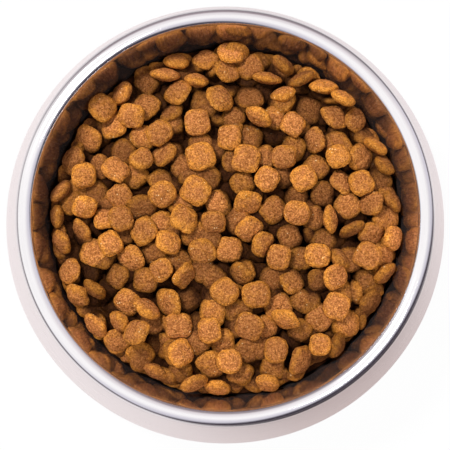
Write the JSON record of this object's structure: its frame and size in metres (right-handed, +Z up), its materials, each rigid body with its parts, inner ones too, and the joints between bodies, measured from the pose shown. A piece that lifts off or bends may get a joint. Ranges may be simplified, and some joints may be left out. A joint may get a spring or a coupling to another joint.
{
  "type": "pet food bowl filled with dry kibble",
  "caption": "Round stainless steel pet bowl with a rolled rim and a flared non-tip skirt on a rubber ring, filled with small brown pillow-shaped kibble.",
  "frame": {"origin": "centre of the circular footprint, at the bottom of the rubber foot ring", "axes": "+Z up out of the bowl's mouth; +X and +Y lie in the floor, and the round bowl is the same in each direction but for its heap"},
  "size_m": [0.2, 0.2, 0.058],
  "materials": {
    "polished_steel": "polished stainless steel, mirror-like inside, fine circular lines on the rim",
    "satin_steel": "satin stainless steel with fine lines round the skirt",
    "black_rubber": "matte black rubber",
    "kibble": "matte porous brown kibble with a smoother golden skin at the sides"
  },
  "bodies": {
    "root": {"dish": "polished_steel", "skirt": "satin_steel", "base_ring": "black_rubber", "kibble_bed": "kibble", "kibble_01": "kibble", "kibble_02": "kibble", "kibble_03": "kibble", "kibble_04": "kibble", "kibble_05": "kibble", "kibble_06": "kibble", "kibble_07": "kibble", "kibble_08": "kibble", "kibble_09": "kibble", "kibble_10": "kibble", "kibble_11": "kibble", "kibble_12": "kibble", "kibble_13": "kibble", "kibble_14": "kibble", "kibble_15": "kibble", "kibble_16": "kibble", "kibble_17": "kibble", "kibble_18": "kibble", "kibble_19": "kibble", "kibble_20": "kibble", "kibble_21": "kibble", "kibble_22": "kibble", "kibble_23": "kibble", "kibble_24": "kibble", "kibble_25": "kibble", "kibble_26": "kibble", "kibble_27": "kibble", "kibble_28": "kibble", "kibble_29": "kibble", "kibble_30": "kibble", "kibble_31": "kibble", "kibble_32": "kibble", "kibble_33": "kibble", "kibble_34": "kibble", "kibble_35": "kibble", "kibble_36": "kibble", "kibble_37": "kibble", "kibble_38": "kibble", "kibble_39": "kibble", "kibble_40": "kibble", "kibble_41": "kibble", "kibble_42": "kibble", "kibble_43": "kibble", "kibble_44": "kibble", "kibble_45": "kibble", "kibble_46": "kibble", "kibble_47": "kibble", "kibble_48": "kibble", "kibble_49": "kibble", "kibble_50": "kibble", "kibble_51": "kibble", "kibble_52": "kibble", "kibble_53": "kibble", "kibble_54": "kibble"}
  },
  "joints": []
}
